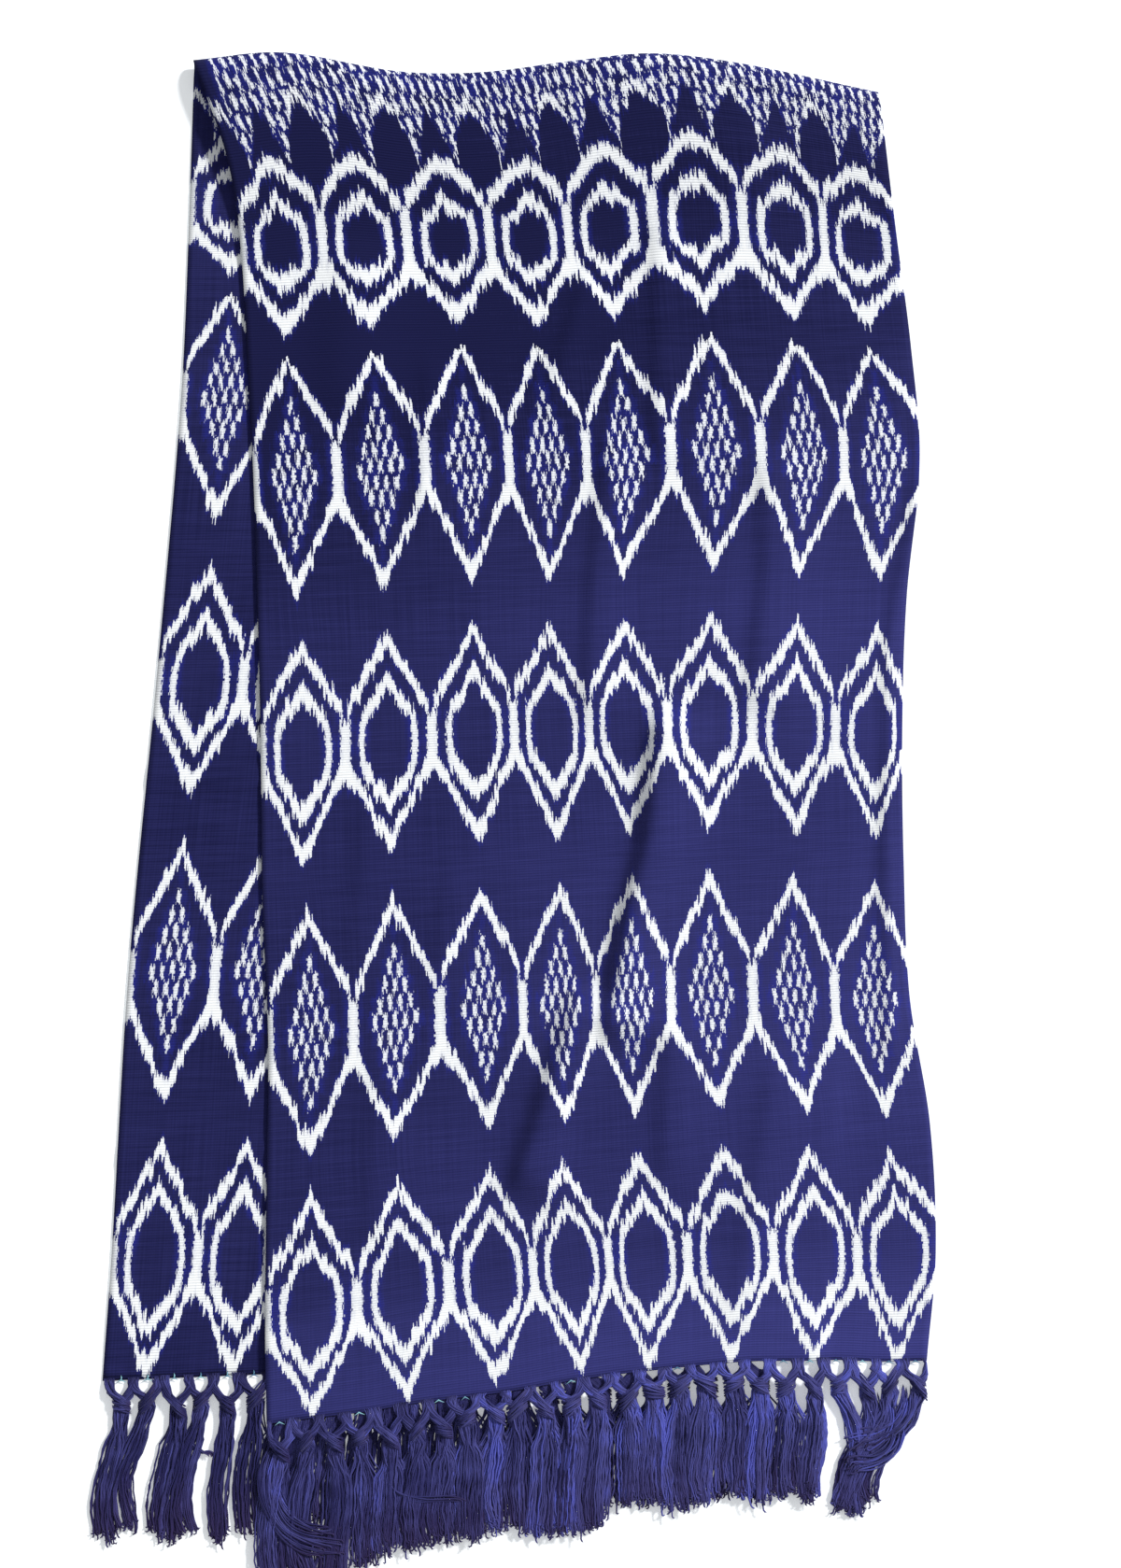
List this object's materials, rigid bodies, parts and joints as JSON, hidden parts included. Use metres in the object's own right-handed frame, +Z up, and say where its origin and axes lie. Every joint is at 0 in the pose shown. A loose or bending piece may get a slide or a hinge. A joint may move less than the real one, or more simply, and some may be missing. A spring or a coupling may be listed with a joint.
{
  "type": "wrap scarf",
  "caption": "Handwoven cotton wrap scarf with an ikat diamond pattern, folded in half across its length and laid flat, with knotted fringes at both ends.",
  "frame": {"origin": "on the surface that the scarf lies on, at the middle of the whole scarf's box", "axes": "+X across the cloth from the left selvage to the right, +Y from the fringed ends to the fold, +Z up from the surface"},
  "size_m": [0.5772, 1.0502, 0.0168],
  "materials": {
    "ikat_cloth": "matt, ribbed handwoven cotton, indigo with undyed ikat diamonds",
    "fringe_threads": "loose cotton threads, indigo, slightly glossy"
  },
  "bodies": {
    "root": {"upper_stretch": "ikat_cloth", "turned_stretch": "ikat_cloth", "lower_stretch": "ikat_cloth", "upper_fringe": "fringe_threads", "lower_fringe": "fringe_threads"}
  },
  "joints": []
}
